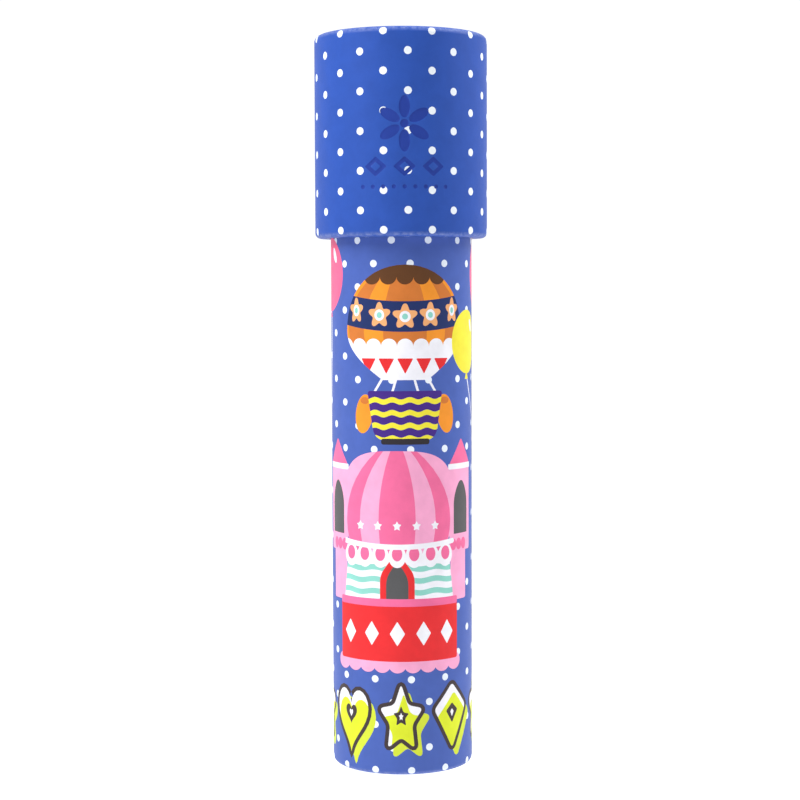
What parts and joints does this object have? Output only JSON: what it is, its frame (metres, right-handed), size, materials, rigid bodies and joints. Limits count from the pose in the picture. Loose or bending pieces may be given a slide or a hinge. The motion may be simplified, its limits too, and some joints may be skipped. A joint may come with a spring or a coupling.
{
  "type": "kaleidoscope",
  "caption": "Card kaleidoscope: a printed paper tube with a three-mirror prism and an eyepiece, and a wider cap that turns and holds a cell of loose beads.",
  "frame": {"origin": "centre of the eyepiece face, which the toy stands on", "axes": "+Z runs along the tube to the rim of the cap; the printed front faces -Y"},
  "size_m": [0.05, 0.05, 0.212],
  "materials": {
    "tube_print": "satin",
    "cap_print": "satin",
    "ring_paper": "satin",
    "greyboard": "matte",
    "folded_card": "matte",
    "foam_board": "matte",
    "eyepiece_plastic": "matte",
    "retainer_plastic": "matte",
    "clear_plastic": "gloss",
    "mirror_strip": "polished",
    "cell_plastic": "satin",
    "frosted_plastic": "matte",
    "glass_bead": "gloss",
    "cut_stone": "gloss",
    "bugle_bead": "gloss",
    "plastic_ring": "gloss",
    "star_foil": "gloss",
    "flower_foil": "gloss",
    "colour_film": "gloss"
  },
  "bodies": {
    "tube": {"main_tube": "greyboard", "tube_wrap": "tube_print", "eyepiece_plug": "eyepiece_plastic", "eyepiece_window": "clear_plastic", "window_retainer": "retainer_plastic", "mirror_base": "mirror_strip", "mirror_left": "mirror_strip", "mirror_right": "mirror_strip", "mirror_sleeve": "folded_card", "lower_centring_ring": "foam_board", "upper_centring_ring": "foam_board", "retaining_collar": "greyboard"},
    "cap": {"cap_sleeve": "greyboard", "cap_wrap": "cap_print", "cap_bearing_ring": "greyboard", "cell_seat_ring": "greyboard", "cell_inner_window": "clear_plastic", "cell_ring": "cell_plastic", "cell_diffuser": "frosted_plastic", "front_ring": "ring_paper"},
    "beads": {"round_beads": "glass_bead", "gem_beads": "cut_stone", "tube_beads": "bugle_bead", "ring_beads": "plastic_ring", "star_sequins": "star_foil", "flower_sequins": "flower_foil", "colour_chips": "colour_film"}
  },
  "joints": [
    {"name": "cap_turn", "type": "hinge", "parent": "tube", "child": "cap", "pos_m": [0, 0, 0.1635], "axis": [0, 0, 1], "continuous": true},
    {"name": "bead_tumble", "type": "hinge", "parent": "cap", "child": "beads", "pos_m": [0, 0, 0.199], "axis": [0, 0, 1], "continuous": true}
  ]
}
